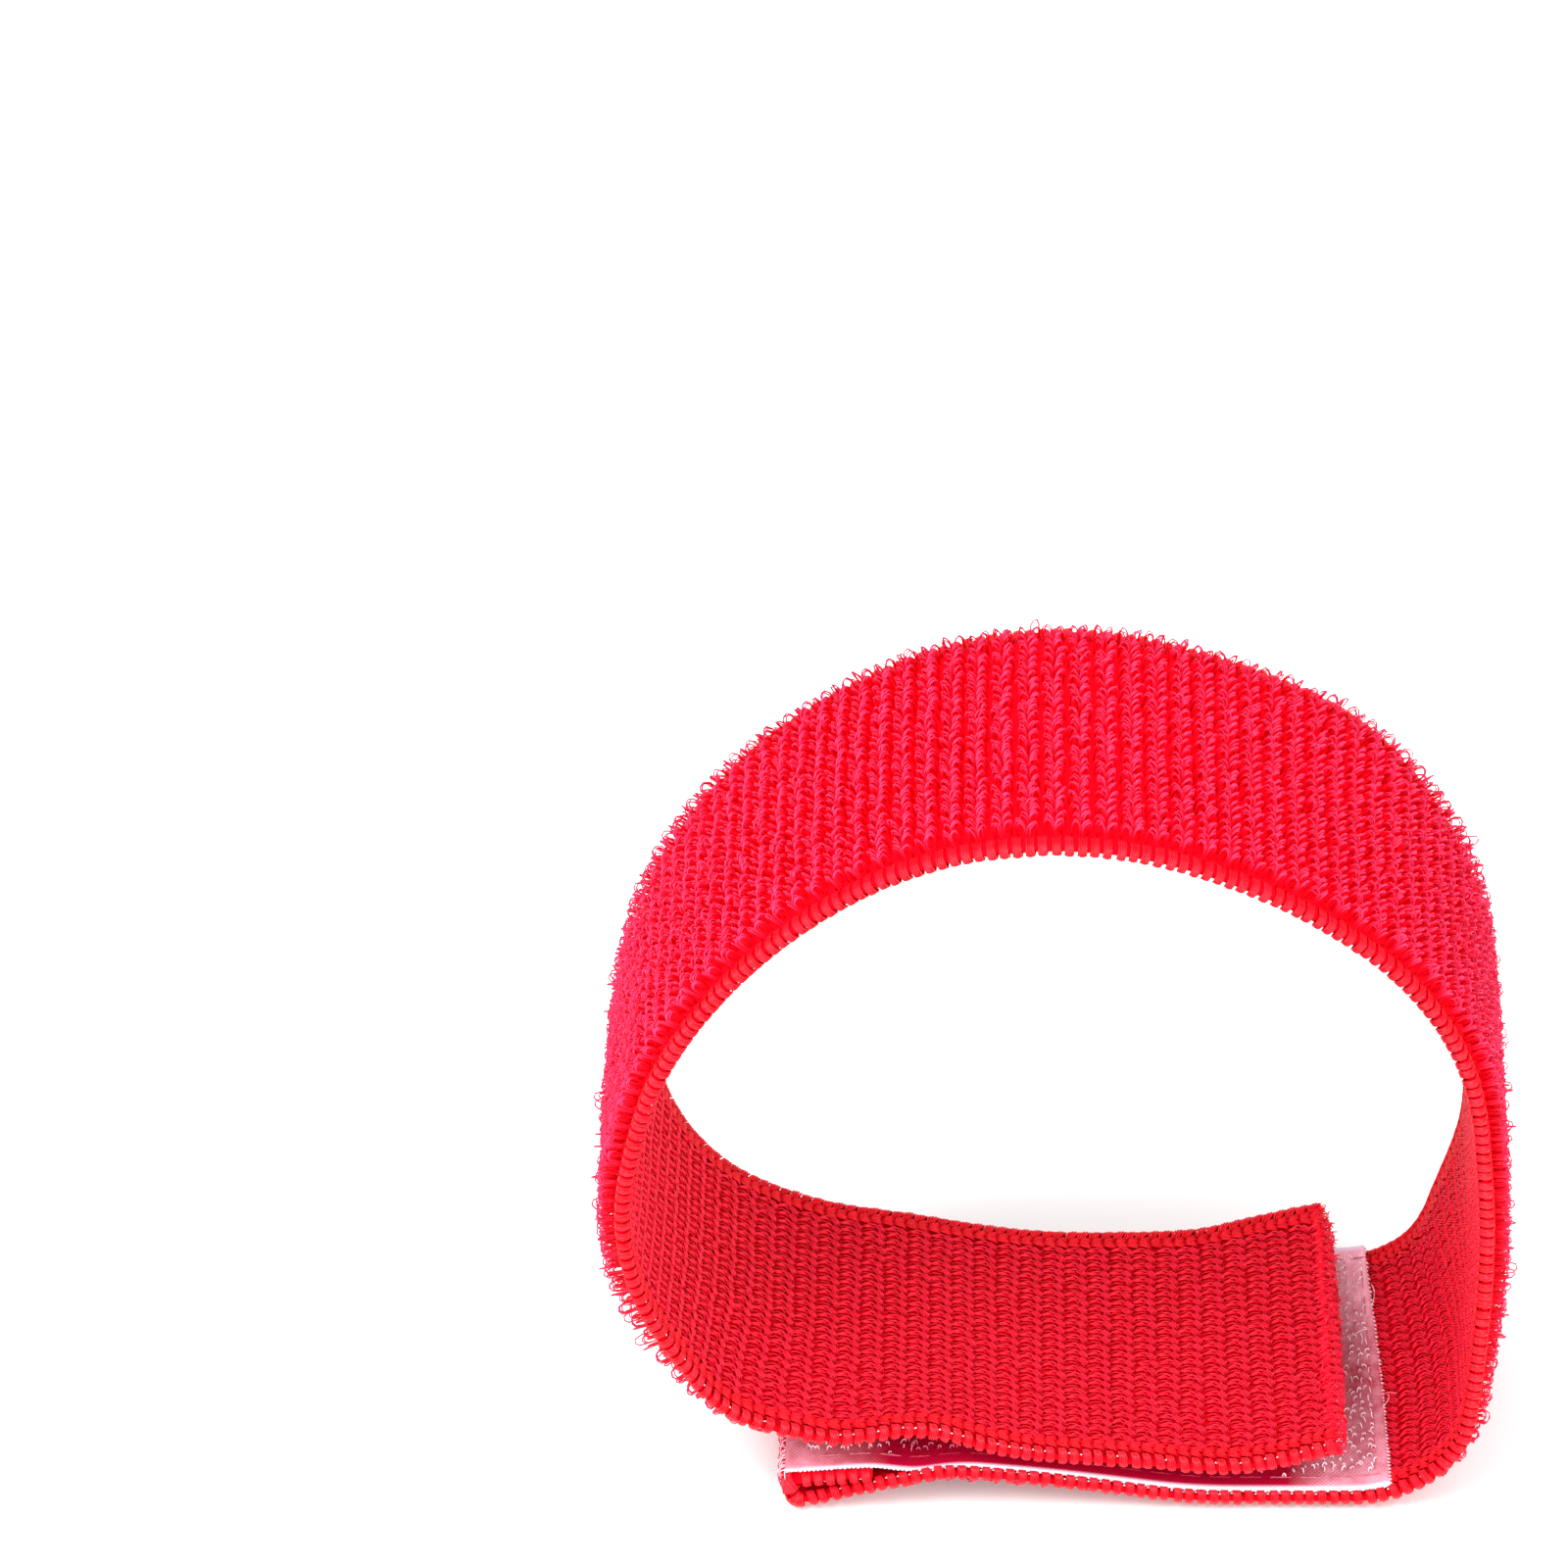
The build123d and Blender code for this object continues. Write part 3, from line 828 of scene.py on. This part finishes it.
def tape_material():
    """The translucent woven nylon: deep red in its middle as painted shade and red light under the free end,
    pale at its ends and white at its margins.
    """
    material, tree, shader = new_material("tape_weave")
    place_on_tape, along, across, _ = yarn_values(tree)
    weave = plain_weave(tree, along, across)
    pale = tape_paleness_and_painted_shade(tree, place_on_tape, along, across)
    share = math_node(tree, "MULTIPLY_ADD", weave, 0.02, pale)
    # the deep colour is painted shade and red light from the band under the free end
    nylon = colour_mix(tree, share, (0.42, 0.0, 0.03), (1.0, 0.6, 0.74))
    colour = colour_mix(tree, tape_margin(tree, along, across), nylon, (0.78, 0.66, 0.82))
    tree.links.new(colour, shader.inputs["Base Color"])
    add_relief(tree, shader, weave, 0.5)
    shader.inputs["Roughness"].default_value = 0.45
    shader.inputs["Specular IOR Level"].default_value = 0.06
    return material


# red_knit: its light colour is the ribs' painted highlight
RED_KNIT = yarn_material("red_knit", (0.76, 0.0, 0.014), (1.0, 0.016, 0.055),
                         filaments=2, twist=0.7, roughness=0.34, shine=0.22, strand=0.08, tinted=0.85)
RED_EDGE = yarn_material("red_edge", (0.7, 0.0, 0.008), (0.9, 0.008, 0.025),
                         filaments=2, twist=0.7, roughness=0.36, shine=0.2, strand=0.08, tinted=0.85)
# red_pile: its light pink colour is the painted highlight on the loops' tops
RED_PILE = yarn_material("red_pile", (1.0, 0.0, 0.014), (0.98, 0.045, 0.165),
                         filaments=2, twist=0.4, roughness=0.45, shine=0.15, strand=0.06, tinted=0.9)
# red_ground: its deep colour is painted shade on the inner face between the ribs
RED_GROUND = yarn_material("red_ground", (0.5, 0.0, 0.006), (1.0, 0.0, 0.012),
                           filaments=1, twist=0.5, roughness=0.8, shine=0.05, strand=0.0, tinted=1.0)
WHITE_CORE = yarn_material("white_core", (0.75, 0.6, 0.6), (0.9, 0.8, 0.8),
                           filaments=1, twist=0.3, roughness=0.5)
# hook_nylon: its light colour is the hooks' pale nylon with painted glints; its deep colour is painted shade
# under the free end
HOOK_NYLON = yarn_material("hook_nylon", (0.72, 0.1, 0.2), (1.0, 0.88, 0.93),
                           filaments=1, twist=0.3, roughness=0.2, shine=0.4, strand=0.06, tinted=0.9)
TAPE_WEAVE = tape_material()
WHITE_WEFT = yarn_material("white_weft", (0.68, 0.57, 0.72), (0.85, 0.77, 0.9),
                           filaments=3, twist=0.6, roughness=0.45)
# thread: its deep colour is the tape's painted shade under the free end
THREAD = yarn_material("thread", (0.42, 0.0, 0.03), (0.9, 0.35, 0.45),
                       filaments=3, twist=0.9, roughness=0.5, shine=0.1, strand=0.05, tinted=0.9)


# ---- the pieces: every span of the band, then what is on the tail and at the cut ----
# The first span lies on the tail and the last on the free end. Each one between crosses a flex line.
SPAN_ENDS = [FLAP_END, 35.0, 78.5, 112.5, 158.5, 200.0, 254.0, 300.5, 338.0, CUT_END]
LAST_SPAN = len(SPAN_ENDS) - 2
FLOOR_GAP = 0.04 * MM
# A group's name, what draws it, its material and slot, and the CAD node of each segment that it stands for.
GROUPS = [
    ("ground", add_ground, RED_GROUND, "red_knit", "knit_face"),
    ("ribs", add_ribs, RED_KNIT, "red_knit", "knit_back"),
    ("edges", add_edges, RED_EDGE, "red_knit", "selvedges"),
    ("pile", add_pile, RED_PILE, "red_pile", "pile"),
    ("cores", add_cores, WHITE_CORE, "white_elastic", "elastic_cores"),
    ("core_dots", add_core_dots, WHITE_CORE, "white_elastic", None),
]


def above_floor(points):
    """Bend into place, and flatten on the floor what would reach below it."""
    bent = place(points)
    bent[..., 2] = np.maximum(bent[..., 2], FLOOR_GAP)
    return bent


def fasten(piece, span):
    """Make a span's piece follow its body: the first span's rides on the tail and the last span's on the
    free end. A piece in between only has its transform baked; the places at either end of its flex line's
    reach are worked out but not used.
    """
    if span == 0:
        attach(piece, SEGMENTS[0])
    elif span == LAST_SPAN:
        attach(piece, SEGMENTS[-1])
    else:
        line, reach = FLEX_LINES[span - 1], BLEND_REACH[span - 1]
        start, end = (place(np.array([s, 0.0, KNIT])) for s in (line - reach, line + reach))
        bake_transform(piece)


def add_span(span, first, last):
    """Draw every group of one span of the band. The two last spans share the last segment's nodes."""
    segment = SEGMENTS[min(span, len(SEGMENTS) - 1)]
    for group, draw, material, slot, node in GROUPS:
        yarns = Yarns()
        draw(yarns, first, last)
        if yarns.points:
            piece = yarns.build(f"{group}_{span}", material, above_floor)
            fasten(piece, span)
            if node:
                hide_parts(f"{segment}_{node}")


def add_to_tail(name, draw, material, nodes=()):
    """Draw one group of yarns of the hook tape and make it ride on the tail."""
    yarns = Yarns()
    draw(yarns)
    piece = yarns.build(name, material, place_tape)
    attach(piece, "tail")
    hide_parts(*nodes)


def add_frayed_cut():
    """Draw the frayed cut and make it ride on the free end."""
    yarns = Yarns()
    add_fray(yarns)
    piece = yarns.build("fray", RED_PILE, place)
    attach(piece, "free_end")


for span, (first, last) in enumerate(zip(SPAN_ENDS[:-1], SPAN_ENDS[1:])):
    add_span(span, first, last)
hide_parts("tail_knit_back", "hem_knit")
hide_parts("hem_pile")

add_to_tail("hook_tape_base", add_tape_base, TAPE_WEAVE, ["hook_tape"])
add_to_tail("hook_tape_edges", add_tape_edges, WHITE_WEFT)
add_to_tail("hook_tape_end", add_tape_end, HOOK_NYLON)
add_to_tail("hooks", add_hooks, HOOK_NYLON, ["hook_field"])
add_to_tail("hook_strays", add_strays, HOOK_NYLON)
add_to_tail("stitches", add_stitches, THREAD, ["tape_stitches"])
add_frayed_cut()


# ---- the view, the light and the floor ----
CAMERA_TURNS = (-2.18, 39.19, 1.6)      # yaw, pitch and roll, in degrees
CAMERA_PLACE = (0.0, -0.7547, 0.7062)
CAMERA_LENS = 207.45
LIGHT_AIM = (0, 0, 0.04)
FLOOR_REACH = 6


def add_camera():
    """A long lens from in front and above, turned so that the ring sits low and to the right."""
    yaw, pitch, roll = (math.radians(turn) for turn in CAMERA_TURNS)
    forward = Vector((math.sin(yaw) * math.cos(pitch), math.cos(yaw) * math.cos(pitch), -math.sin(pitch)))
    level = Vector((math.cos(yaw), -math.sin(yaw), 0.0))
    upright = level.cross(forward)
    right = level * math.cos(roll) - upright * math.sin(roll)
    up = level * math.sin(roll) + upright * math.cos(roll)
    data = bpy.data.cameras.new("camera")
    data.lens = CAMERA_LENS
    data.sensor_width = 36.0
    data.clip_start = 0.01
    data.clip_end = 50.0
    camera = bpy.data.objects.new("camera", data)
    turn = Matrix((right, up, -forward)).transposed().to_4x4()
    camera.matrix_world = Matrix.Translation(CAMERA_PLACE) @ turn
    bpy.context.scene.collection.objects.link(camera)
    bpy.context.scene.camera = camera


def add_area(name, place_at, size, power):
    """A soft square light that points at the strap."""
    data = bpy.data.lights.new(name, "AREA")
    data.shape = "SQUARE"
    data.size = size
    data.energy = power
    lamp = bpy.data.objects.new(name, data)
    lamp.location = place_at
    lamp.rotation_euler = (Vector(LIGHT_AIM) - Vector(place_at)).to_track_quat("-Z", "Y").to_euler()
    bpy.context.scene.collection.objects.link(lamp)


def add_floor():
    """A plain pale floor under the object."""
    material, _, shader = new_material("floor_paint")
    shader.inputs["Base Color"].default_value = (0.84, 0.9, 0.9, 1)
    shader.inputs["Roughness"].default_value = 0.8
    shader.inputs["Specular IOR Level"].default_value = 0.1
    corners = [(x * FLOOR_REACH, y * FLOOR_REACH, 0) for x, y in ((-1, -1), (1, -1), (1, 1), (-1, 1))]
    mesh = bpy.data.meshes.new("floor")
    mesh.from_pydata(corners, [], [(0, 1, 2, 3)])
    mesh.materials.append(material)
    floor = bpy.data.objects.new("floor", mesh)
    bpy.context.scene.collection.objects.link(floor)


def set_world():
    """Even white light from all round."""
    world = bpy.data.worlds.new("studio")
    world.use_nodes = True
    background = world.node_tree.nodes["Background"]
    background.inputs["Color"].default_value = (1, 1, 1, 1)
    background.inputs["Strength"].default_value = 1.25
    bpy.context.scene.world = world
    bpy.context.scene.view_settings.view_transform = "Standard"


add_camera()
add_area("key", (-0.5, -0.35, 0.9), size=0.5, power=9.0)
add_area("fill", (0.7, -0.5, 0.6), size=0.6, power=4.0)
add_area("front", (0.05, -0.9, 0.3), size=0.6, power=4.5)
add_floor()
set_world()
